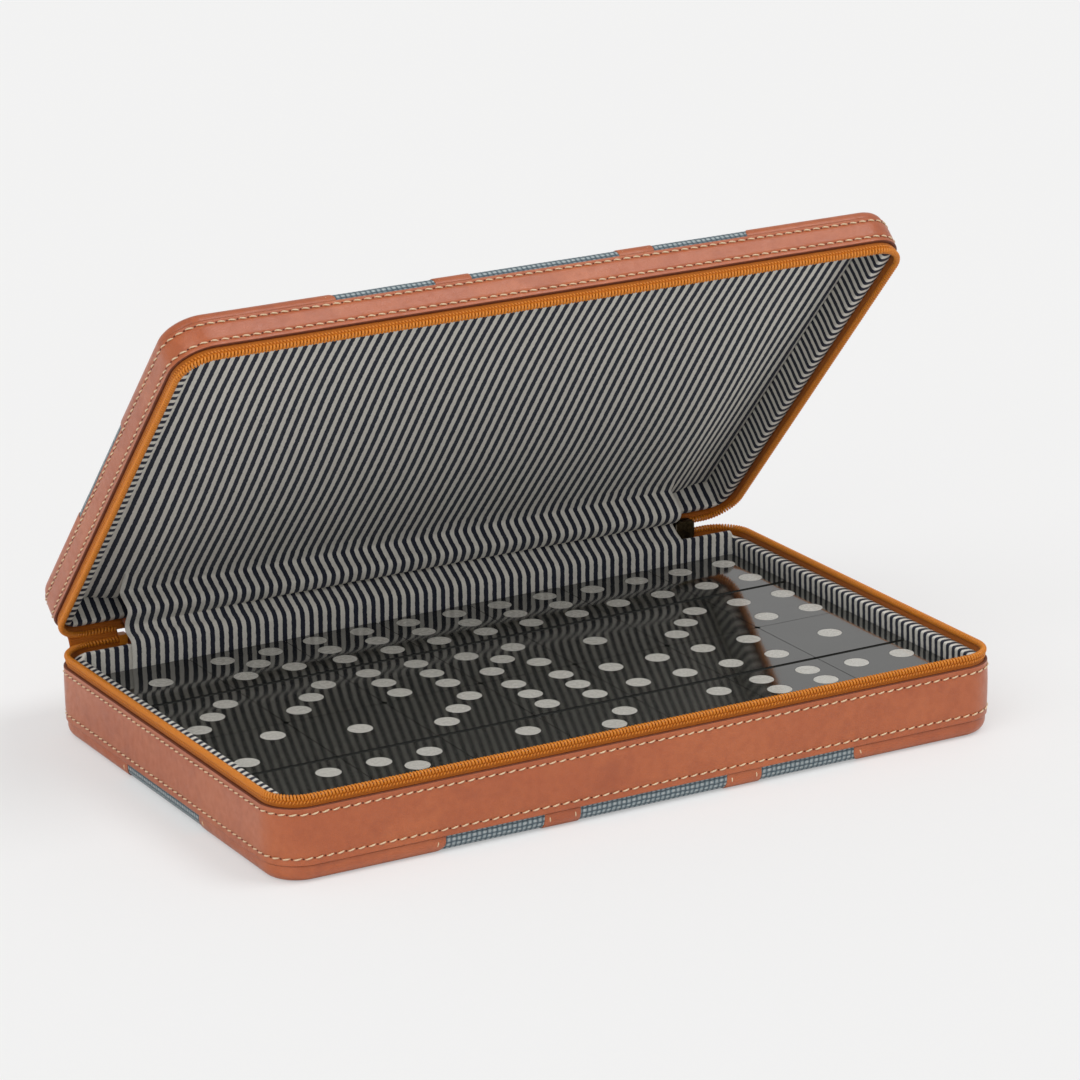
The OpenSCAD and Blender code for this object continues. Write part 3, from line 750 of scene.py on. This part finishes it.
def zip_coil(name, body, h, left, right, lid):
    """One continuous coil, wound round the tape's edge."""
    steps, sides = 14, 6
    half_width, half_height, wire, gap = 0.95, 0.97, 0.6, 0.15
    length = OUTER.length - left - right
    turns = round(length / COIL_PITCH)
    n = turns * steps + 1
    t = np.arange(n) / steps
    ang = 2 * math.pi * t
    P, N, _ = OUTER.at(right + t * length / turns)
    inset = BAND_T + TAPE_T / 2 + half_width * np.cos(ang)
    z = h + ZIP_RISE - gap - COIL_D / 2 - half_height * np.sin(ang)
    C = np.column_stack([P + N * inset[:, None], z])
    tang = np.gradient(C, axis=0)
    tang /= np.linalg.norm(tang, axis=1)[:, None]
    out = np.column_stack([N * np.cos(ang)[:, None], -np.sin(ang)])
    side = np.cross(tang, out)
    side /= np.linalg.norm(side, axis=1)[:, None]
    out = np.cross(side, tang)
    V = []
    for j in range(sides):
        q = 2 * math.pi * j / sides
        V.append(C + wire * (out * math.cos(q) + side * math.sin(q)))
    V = np.stack(V, 1).reshape(-1, 3)
    F = grid_faces(n, sides, False, True)
    F.append(tuple(range(sides)))
    F.append(tuple(reversed(range((n - 1) * sides, n * sides))))
    ob = build(name, V, F, COIL, body, lid=lid)
    return ob


def zip_sewing(name, body, h, left, right, lid):
    """The slanting threads that sew the coil to its tape, on the outside."""
    length = OUTER.length - left - right
    k = round(length / COIL_PITCH)
    P, N, T = OUTER.at(right + (np.arange(k) + 0.5) * length / k)
    places = np.column_stack([P + N * (BAND_T - 0.3), np.full(k, h + 2.15)])
    lean = np.column_stack([-0.5 * T, np.full(k, 1.0)])
    out = np.column_stack([-N, np.zeros(k)])
    ob = scatter(name, places, lean, out, capsule(2.3, 0.42), COIL, body, lid=lid)


# Lengths that each of the lid's short tapes leaves free at its far end
RIGHT_REST = OUTER.length - LID_ZIP_RIGHT - 0.2
LEFT_REST = OUTER.length - LID_ZIP_LEFT - 0.2
zip_sewing("tray_sewing", "tray", TRAY_H, ZIP_END + 1, ZIP_END + 1, False)
zip_sewing("lid_sewing", "lid", LID_H, LID_ZIP_LEFT + 1, LID_ZIP_RIGHT + 1, True)
tray_tape = zip_tape("tray_tape", "tray", TRAY_H, ZIP_END, ZIP_END, False)
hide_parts("tray_zip_tape")
zip_tape("lid_tape_end", "lid", LID_H, RIGHT_REST, ZIP_END, True, top=2.9)
zip_tape("lid_tape_left", "lid", LID_H, ZIP_END - 0.3, LEFT_REST, True, top=4.7)
lid_tape = zip_tape("lid_tape", "lid", LID_H, ZIP_END, LID_ZIP_RIGHT, True)
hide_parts("lid_zip_tape")
tray_coil = zip_coil("tray_coil", "tray", TRAY_H, ZIP_END, ZIP_END, False)
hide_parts("tray_zip_coil")
lid_coil = zip_coil("lid_coil", "lid", LID_H, LID_ZIP_LEFT, LID_ZIP_RIGHT, True)
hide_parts("lid_zip_coil")


# Lining

def wall_lining(name, body, h, back_wall, lid, seed, rise):
    """The padded lining of the walls and the ledge on top of them. Rise says how far the ledge's
    inner edge stands up at the back, front, left and right."""
    behind = BOARD_IN + BOARD_T
    cy = (SIDE_WALL - back_wall) / 2
    inner = Loop(W - 2 * SIDE_WALL, D - SIDE_WALL - back_wall, HOLLOW_R, cy)
    outer = Loop(W - 2 * BOARD_IN, D - 2 * BOARD_IN, R - BOARD_IN)
    back = Loop(W - 2 * behind, D - 2 * behind, R - behind)
    nx, ny, nc = 56, 68, 12
    si, so, sb = inner.matched(nx, ny, nc), outer.matched(nx, ny, nc), back.matched(nx, ny, nc)
    Pi, Ni, _ = inner.at(si)
    Po, No, _ = outer.at(so)
    Pb, _, _ = back.at(sb)
    n = len(si)
    low = h + 0.3
    facing = (-No[:, 1], No[:, 1], No[:, 0], -No[:, 0])
    led = h + LEDGE + sum(up * np.maximum(0, way) ** 2 for up, way in zip(rise, facing))
    w = waves(seed, (80, 47, 29), 0.18)
    rows = []

    def row(P, z):
        rows.append(np.column_stack([P, np.full(n, z) if np.isscalar(z) else z]))

    row(Po + No * 0.15, h - LINING_DROP)
    row(Po + No * 0.15, low - 0.9)
    row(Po + No * 0.4, low - 0.25)
    row(Po + No * 1.0, low + 0.05)
    A, B = Po + No * 1.0, Pi - Ni * LEDGE_ROUND
    for k in (0.2, 0.4, 0.6, 0.8):
        swell = (0.35 + w(si, k * 20)) * math.sin(math.pi * k)
        row(A * (1 - k) + B * k, (low + 0.05) * (1 - k) + led * k + swell)
    row(B, led)
    for q in (0.25, 0.5, 0.75, 1.0):
        ang = q * math.pi / 2
        row(Pi - Ni * LEDGE_ROUND * (1 - math.sin(ang)), led + LEDGE_ROUND * (math.cos(ang) - 1))
    for k in np.linspace(1, 0, 7):
        row(Pi - Ni * (0.25 * math.sin(math.pi * k)), LINING_BASE + (led - 2.4 - LINING_BASE) * k)
    row(Pb, LINING_BASE)
    row(Pb, h - LINING_DROP)
    m = len(rows)
    V = np.stack(rows, 1).reshape(-1, 3)
    step = np.linalg.norm(np.diff(np.stack(rows, 1), axis=1), axis=2).mean(0)
    v = np.concatenate([[0], np.cumsum(step)])
    F = grid_faces(n, m, True, True)
    # stripes run square to each wall and meet in a mitre at the corners
    lines = [(end - part[3], np.array(part[1], float) + (0, cy), np.array(part[2], float))
             for part, end in zip(inner.parts, inner.ends) if part[0] == "line"]
    walls = np.repeat(range(5), [nx + nc // 2, nc + ny, nc + 2 * nx, nc + ny, nc // 2 + nx])
    flat = []
    for f in F:
        start, origin, way = lines[walls[f[0] // m]]
        vs = [v[i % m] for i in f]
        # a face that closes the section has its last corners at nought
        if max(vs) - min(vs) > v[-1] / 2:
            vs = [x if x > 0.01 else v[-1] + 1 for x in vs]
        q = [(start + float((V[i][:2] - origin) @ way), x) for i, x in zip(f, vs)]
        flat += reversed(q) if lid else q
    ob = build(name, V, F, LINING, body, flat, lid=lid)
    return ob


def pad(name, body, back_wall, t, lid, seed, crown, droop, bulge=0.0):
    """A flat pad with soft edges that fills a hollow. Stripes run from front to back. Bulge is how
    far it swells toward the back."""
    w, d = W - 2 * SIDE_WALL - 2 * PAD_GAP, D - SIDE_WALL - back_wall - 2 * PAD_GAP
    r, cy = HOLLOW_R - PAD_GAP, (SIDE_WALL - back_wall) / 2

    def spread(n, half):
        """Places from -half to half, closer near the ends."""
        share = np.linspace(-1, 1, n)
        return np.sign(share) * (1 - (1 - np.abs(share)) ** 1.35) * half

    X, Y = spread(121, w / 2), spread(81, d / 2)
    gx, gy = np.meshgrid(X, Y, indexing="ij")
    # the square corners of the grid are drawn in to round ones
    qx, qy = np.abs(gx) - (w / 2 - r), np.abs(gy) - (d / 2 - r)
    both = (qx > 0) & (qy > 0)
    k = np.where(both, np.maximum(qx, qy) / np.maximum(np.hypot(qx, qy), 1e-9), 1)
    px = np.where(both, np.sign(gx) * (w / 2 - r + qx * k), gx)
    py = np.where(both, np.sign(gy) * (d / 2 - r + qy * k), gy)
    e = np.minimum(w / 2 - np.abs(gx), d / 2 - np.abs(gy))
    wv = waves(seed, (120, 73, 41), crown)
    top = LINING_BASE + t + wv(px, py) * np.clip(e / 12, 0, 1) - droop * np.exp(-e / 1.6)
    near = [np.clip((py + cy + 70) / 120, 0, 1), np.clip((172 - np.abs(px)) / 34, 0, 1)]
    for k in near:
        bulge = bulge * k ** 2 * (3 - 2 * k)
    top = top + bulge
    n, m = gx.shape
    V1 = np.stack([px, py + cy, top], 2).reshape(-1, 3)
    F = [tuple(reversed(f)) for f in grid_faces(n, m, False, False)]
    border = [i * m for i in range(n)]
    border += [(n - 1) * m + j for j in range(1, m)]
    border += [i * m + m - 1 for i in range(n - 2, -1, -1)]
    border += list(range(m - 2, 0, -1))
    base = [(V1[i][0], V1[i][1], LINING_BASE + 0.05) for i in border]
    off, nb = len(V1), len(border)
    for i in range(nb):
        j = (i + 1) % nb
        F.append((border[j], border[i], off + i, off + j))
    F.append(tuple(off + i for i in range(nb)))
    V = np.concatenate([V1, np.array(base)])
    ob = build(name, V, F, LINING, body, V[:, :2], lid=lid)
    outwards(ob.data)
    return ob


tray_walls = wall_lining("tray_wall_cloth", "tray", TRAY_H, HINGE_WALL, False, 31, (4.5, 1.0, 2.0, 0.3))
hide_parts("tray_wall_lining")
lid_walls = wall_lining("lid_wall_cloth", "lid", LID_H, LID_HINGE_WALL, True, 37, (0.4, 1.0, 1.0, 1.0))
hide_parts("lid_wall_lining")
tray_floor = pad("tray_floor_cloth", "tray", HINGE_WALL, 2.4, False, 41, 0.05, 0.4)
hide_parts("tray_floor_lining")
lid_pad = pad("lid_pad", "lid", LID_HINGE_WALL, 3.4, True, 43, 0.35, 1.2, bulge=5.6)
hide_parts("lid_padded_lining")


# Hinge

def opened(y, z):
    """Where a place on the closed lid lies when the lid is open as photographed."""
    dy, dz = y - AXIS_Y, z - PARTING
    c, s = math.cos(LID_OPEN), math.sin(LID_OPEN)
    return (AXIS_Y + dy * c + dz * s, PARTING - dy * s + dz * c)


def smooth_path(pts, n):
    """A Catmull-Rom curve through the points, as n evenly spaced ones, and its length."""
    p = np.asarray(pts, float)
    p = np.vstack([2 * p[0] - p[1], p, 2 * p[-1] - p[-2]])
    out = []
    for i in range(1, len(p) - 2):
        for t in np.linspace(0, 1, 12, endpoint=False):
            a, b, c, d = p[i - 1], p[i], p[i + 1], p[i + 2]
            out.append(0.5 * (2 * b + (c - a) * t + (2 * a - 5 * b + 4 * c - d) * t**2
                              + (3 * b - a - 3 * c + d) * t**3))
    out.append(p[-2])
    out = np.array(out)
    cum = np.concatenate([[0], np.cumsum(np.linalg.norm(np.diff(out, axis=0), axis=1))])
    t = np.linspace(0, cum[-1], n)
    return np.stack([np.interp(t, cum, out[:, i]) for i in range(2)], 1), cum[-1]


def sheet_between(name, section, length, width, t, nx, material, ripple, seed, x0=0.0):
    """A cloth whose section at each x is a path in the YZ plane, width wide along X."""
    m = len(section(0.0))
    X = np.linspace(x0 - width / 2, x0 + width / 2, nx)
    w = waves(seed, (70, 44, 27, 18), ripple)
    lens = np.linspace(0, length, m)
    ends = np.clip(np.minimum(lens, length - lens) / 8, 0, 1)
    V, uv = [], []
    for side in (1, -1):
        for x in X:
            path = section(x)
            tang = np.gradient(path, axis=0)
            tang /= np.linalg.norm(tang, axis=1)[:, None]
            nrm = np.stack([-tang[:, 1], tang[:, 0]], 1)
            d = w(np.full(m, x), lens * 1.5) * ends + side * t / 2
            yz = path + nrm * d[:, None]
            V.append(np.column_stack([np.full(m, x), yz]))
            uv.append(np.column_stack([np.full(m, x), lens]))
    V, uv = np.concatenate(V), np.concatenate(uv)
    off = nx * m
    top = grid_faces(nx, m, False, False)
    F = list(top) + [tuple(reversed([off + i for i in f])) for f in top]
    for i in range(nx - 1):
        F.append((i * m, off + i * m, off + (i + 1) * m, (i + 1) * m))
        F.append(((i + 1) * m + m - 1, off + (i + 1) * m + m - 1, off + i * m + m - 1, i * m + m - 1))
    for j in range(m - 1):
        F.append((j + 1, off + j + 1, off + j, j))
        k = (nx - 1) * m + j
        F.append((k, off + k, off + k + 1, k + 1))
    ob = build(name, V, F, material, None, uv)
    outwards(ob.data)
    return ob


PANEL_Y = D / 2 - HINGE_WALL - 0.75
PANEL_W = HINGE_W + 3.6
# The panel's section as (y, z), chosen to follow the photo at four places along X: over the
# tray's ledge, out to the crease above the hinge and back to the lid. TUCK is its end under the pad.
KNOTS = [-149.9, -51.6, 43.1, 141.3]
WAYS = np.array([
    [(100.9, 36.8), (101.6, 40.6), (103.6, 42.6), (106.4, 43.6), (107.9, 45.4), (108.2, 46.8), (108.0, 48.0),
     (106.9, 50.2), (105.0, 52.9), (104.2, 55.2), (105.6, 57.1), (108.6, 58.9), (112.2, 61.3)],
    [(101.1, 35.4), (101.2, 39.2), (102.8, 41.6), (105.7, 43.4), (108.6, 45.0), (112.0, 46.9), (110.0, 47.5),
     (107.2, 48.7), (105.4, 51.4), (104.6, 54.3), (106.0, 56.2), (109.0, 58.1), (112.6, 61.0)],
    [(101.3, 34.6), (101.4, 37.6), (103.0, 39.8), (105.9, 41.8), (109.0, 43.8), (112.6, 46.2), (111.0, 47.0),
     (108.6, 48.3), (106.4, 51.2), (105.3, 53.8), (106.0, 55.4), (108.8, 57.4), (112.6, 60.6)],
    [(101.3, 34.6), (101.5, 37.9), (103.2, 39.8), (105.6, 41.1), (108.4, 42.8), (111.8, 45.8), (110.4, 46.6),
     (107.4, 48.0), (104.7, 50.1), (103.2, 52.6), (103.6, 54.8), (106.6, 58.0), (112.0, 61.9)]])
TUCK = [opened(98.2, 51.4), opened(96.8, 51.6), opened(94, 51.95), opened(90.5, 52.6), opened(86, 53.3)]


def panel_way(x):
    """The panel's section at x, from the foot of the tray's wall to its end, and its length."""
    foot = [(PANEL_Y, TRAY_FLOOR + 0.3), (PANEL_Y, 16.0), (PANEL_Y, 27.0)]
    way = [tuple(np.interp(x, KNOTS, WAYS[:, i, j]) for j in (0, 1)) for i in range(WAYS.shape[1])]
    return smooth_path(foot + way + TUCK, 110)


panel_l = panel_way(0.0)[1]
panel = sheet_between("hinge_panel", lambda x: panel_way(x)[0], panel_l, PANEL_W, 0.7, 151, LINING,
                      0.2, 53, x0=-2.5)
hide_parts("hinge_lining")
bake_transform(panel)

# The spine goes straight up the tray and bends in one arc round to the lid
spine_y = D / 2 - BAND_T - 0.4
half_turn = math.tan(LID_OPEN / 2)
bend = (ZIP_RISE + (AXIS_Y - spine_y) * half_turn) / half_turn
spine_points = [(spine_y, TRAY_H - 6.5), (spine_y, TRAY_H - 3), (spine_y, TRAY_H)]
for a in np.linspace(0, LID_OPEN, 14)[1:]:
    spine_points.append((spine_y + bend - bend * math.cos(a), TRAY_H + bend * math.sin(a)))
spine_way, spine_l = smooth_path(spine_points, 40)
spine = sheet_between("hinge_leather", lambda x: spine_way, spine_l, HINGE_W, 0.8, 101, LEATHER, 0.12, 59)
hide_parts("hinge_spine")
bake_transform(spine)

# A strip of tape joins both halves of the zip beside the hinge's left end
strip_y = D / 2 - BAND_T - TAPE_T / 2
strip_points = [(strip_y, PARTING - k) for k in (3, 1.5, 0.6)]
strip_points += [opened(strip_y, PARTING + k) for k in (0.6, 1.5, 3)]
strip_way, strip_l = smooth_path(strip_points, 16)
strip = sheet_between("zip_strip", lambda x: strip_way, strip_l, 24.6, 0.5, 24, TAPE, 0.0, 61, x0=-163.9)
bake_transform(strip)


# Metal, board and dominoes

def paint(node, material):
    """Gives a CAD piece one material."""
    ob = NODES[node]
    if not ob.material_slots:
        ob.data.materials.append(material)
    for slot in ob.material_slots:
        slot.material = material


paint("zip_slider", BRONZE)
paint("zip_pull", BRONZE)
paint("zip_stop", COIL)
paint("tray_board", BOARD)
paint("lid_board", BOARD)


def pip_places(n):
    """Where the pips of a half lie round its middle."""
    a, c = PIP_STEP, SIX_STEP
    corners = [(x, y) for x in (-a, a) for y in (-a, a)]
    pair = [(-a, -a), (a, a)]
    six = [(x, y) for x in (-a, a) for y in (-c, 0, c)]
    return [[], [(0, 0)], pair, [pair[0], (0, 0), pair[1]], corners, [(0, 0)] + corners, six][n]


def pip_rings(x, y, z):
    """The rings of one pip, a low disc with an eased rim, whose recess opens at height z."""
    r = PIP_D / 2 - 0.06
    turn = [2 * math.pi * i / PIP_SIDES for i in range(PIP_SIDES)]
    rings = ((r, -0.39), (r, -0.09), (r - 0.06, -0.045), (r - 0.25, -0.03))
    return [(x + q * math.cos(t), y + q * math.sin(t), z + dz) for q, dz in rings for t in turn]


def domino_pips(a, b, x0, y0, z0):
    """All pips of one domino as one mesh."""
    V, F = [], []
    k = PIP_SIDES
    for value, sign in ((a, 1), (b, -1)):
        for px, py in pip_places(value):
            base = len(V)
            V += pip_rings(x0 + px, y0 + sign * HALF_STEP + py, z0)
            for ring in range(base, base + 3 * k, k):
                for i in range(k):
                    j = (i + 1) % k
                    F.append((ring + i, ring + j, ring + k + j, ring + k + i))
            F.append(tuple(base + 3 * k + i for i in range(k)))
            F.append(tuple(base + i for i in reversed(range(k))))
    return V, F


for a, b, column, row, layer in SET:
    node = "domino_%d_%d" % (a, b)
    paint(node, ACRYLIC)
    x0, y0 = (column - 3) * PITCH_X, SET_Y + (row - 0.5) * PITCH_Y
    z0 = TRAY_FLOOR + layer * (TILE_T + LAYER_GAP) + TILE_T
    V, F = domino_pips(a, b, x0, y0, z0)
    if V:
        ob = build("pips_%d_%d" % (a, b), V, F, PIP, node, smooth=False)


# Floor, light and camera

PAPER = (0.888, 0.888, 0.888, 1)
SKY, SKY_STRENGTH = (1.0, 0.995, 0.985, 1), 0.52
FLOOR_HALF, FLOOR_GLOW = 9.0, 0.45
# Name, strength, angle in degrees and where the light comes from
LAMPS = [("overhead", 0.92, 30, (0.42, -0.28, 0.86)), ("front_left", 1.0, 50, (-0.60, -0.42, 0.68))]


def floor():
    """A pale floor that glows a little for the camera, so that it ends nowhere."""
    me = bpy.data.meshes.new("floor")
    q = FLOOR_HALF
    me.from_pydata([(-q, -q, 0), (q, -q, 0), (q, q, 0), (-q, q, 0)], [], [(0, 1, 2, 3)])
    ob = link("floor", me)
    m = Mat("floor_paper", Roughness=0.95, Specular_IOR_Level=0.0)
    m.colour(m.mix(m.noise(3, 2), (0.9, 0.9, 0.9, 1), (0.91, 0.91, 0.91, 1)))
    glow = m.node("Emission", {"Color": PAPER, "Strength": 1.0})
    seen = m.math("MULTIPLY", m.node("LightPath").outputs["Is Camera Ray"], FLOOR_GLOW)
    both = m.node("MixShader", {0: seen, 1: m.p.outputs[0], 2: glow.outputs[0]})
    m.t.links.new(both.outputs[0], m.t.nodes["Material Output"].inputs["Surface"])
    me.materials.append(m.m)


def studio():
    """A sky that lights the case, paper for the camera, and the lamps."""
    world = bpy.data.worlds.new("studio")
    bpy.context.scene.world = world
    world.use_nodes = True
    tree = world.node_tree
    sky = tree.nodes["Background"]
    sky.inputs[0].default_value = SKY
    sky.inputs[1].default_value = SKY_STRENGTH
    paper = tree.nodes.new("ShaderNodeBackground")
    paper.inputs[0].default_value = PAPER
    ray = tree.nodes.new("ShaderNodeLightPath")
    mix = tree.nodes.new("ShaderNodeMixShader")
    tree.links.new(ray.outputs["Is Camera Ray"], mix.inputs[0])
    tree.links.new(sky.outputs[0], mix.inputs[1])
    tree.links.new(paper.outputs[0], mix.inputs[2])
    tree.links.new(mix.outputs[0], tree.nodes["World Output"].inputs["Surface"])

    for name, energy, angle, place in LAMPS:
        lamp = bpy.data.lights.new(name, "SUN")
        lamp.angle = math.radians(angle)
        lamp.energy = energy
        ob = link(name, lamp)
        ob.location = place
        ob.rotation_euler = Vector(place).to_track_quat("Z", "Y").to_euler()


# The camera as fitted to the photo: focal length in pixels, angles in degrees, and its distance and
# sideways shifts in millimetres
PHOTO_PX, FOCAL_PX = 1080, 4605.3
AZIMUTH, ELEVATION, ROLL = -29.01, 17.67, -1.02
DISTANCE, SHIFT_RIGHT, SHIFT_UP = 2130.05, -6.72, -87.96
SENSOR = 36


def camera():
    """The camera at the photo's viewing angle, with the photo's frame."""
    az, el, roll = math.radians(AZIMUTH), math.radians(ELEVATION), math.radians(ROLL)
    right = Vector((math.cos(az), math.sin(az), 0))
    back = Vector((math.sin(az) * math.cos(el), -math.cos(az) * math.cos(el), math.sin(el)))
    up = back.cross(right)
    rolled_right = right * math.cos(roll) + up * math.sin(roll)
    rolled_up = -right * math.sin(roll) + up * math.cos(roll)
    place = back * DISTANCE - rolled_right * SHIFT_RIGHT - rolled_up * SHIFT_UP
    cam = bpy.data.cameras.new("camera")
    cam.sensor_width = SENSOR
    cam.sensor_fit = "HORIZONTAL"
    cam.lens = FOCAL_PX / PHOTO_PX * SENSOR
    cam.clip_start, cam.clip_end = 0.05, 40
    ob = link("camera", cam)
    m = ob.matrix_world.copy()
    for i in range(3):
        m[i] = (rolled_right[i], rolled_up[i], back[i], place[i] * 0.001)
    ob.matrix_world = m
    bpy.context.scene.camera = ob


floor()
studio()
camera()
bpy.context.scene.view_settings.view_transform = "Standard"
bpy.context.scene.view_settings.look = "None"
